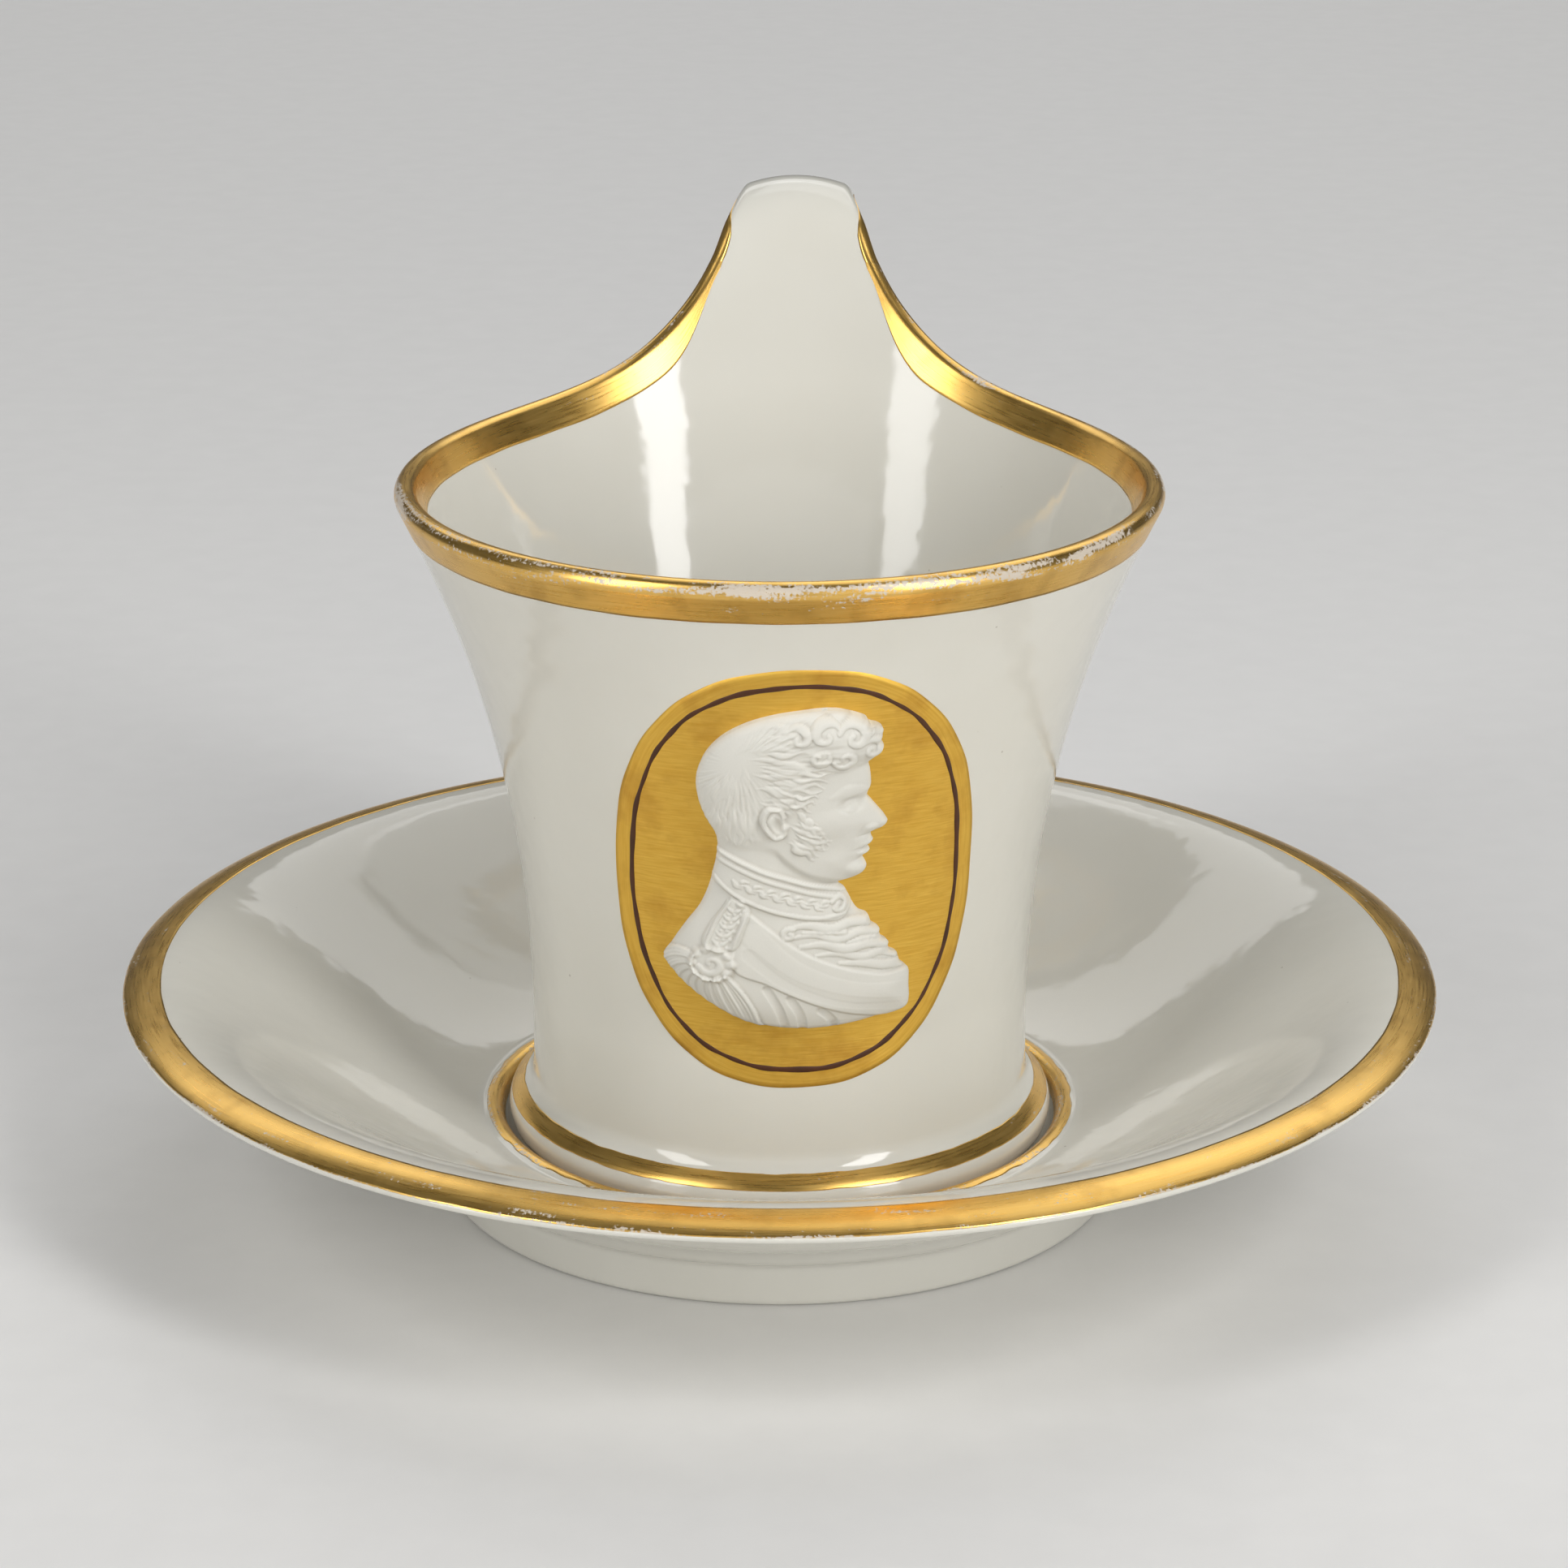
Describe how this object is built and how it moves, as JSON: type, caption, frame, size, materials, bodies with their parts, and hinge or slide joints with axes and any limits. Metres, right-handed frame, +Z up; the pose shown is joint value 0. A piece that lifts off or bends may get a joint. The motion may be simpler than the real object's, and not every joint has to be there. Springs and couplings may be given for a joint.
{
  "type": "porcelain cup",
  "caption": "Flared white porcelain cup with a gilded rim rising into a loop handle and a biscuit portrait on a gold oval, standing in its gilded saucer.",
  "frame": {"origin": "centre of the saucer's foot ring, on the table", "axes": "+Z up, the portrait faces -Y and the handle stands towards +Y"},
  "size_m": [0.1508, 0.1508, 0.1055],
  "materials": {
    "porcelain": "clear glaze, glossy",
    "biscuit": "unglazed, matt",
    "gold": "burnished gilding",
    "matt_gold": "matt gilding with brush marks",
    "brown_enamel": "painted and fired, satin"
  },
  "bodies": {
    "saucer": {"saucer_dish": "porcelain", "saucer_rim_gilding": "gold", "saucer_well_gilding": "gold"},
    "cup": {"cup_body": "porcelain", "cup_handle": "porcelain", "portrait_relief": "biscuit", "medallion_ground": "matt_gold", "medallion_line": "brown_enamel", "rim_gilding": "gold", "handle_gilding_left": "gold", "handle_gilding_right": "gold", "foot_gilding": "gold"}
  },
  "joints": [
    {"name": "cup_lift", "type": "slide", "parent": "saucer", "child": "cup", "axis": [0, 0, 1], "range_m": [0, 0.06]}
  ]
}
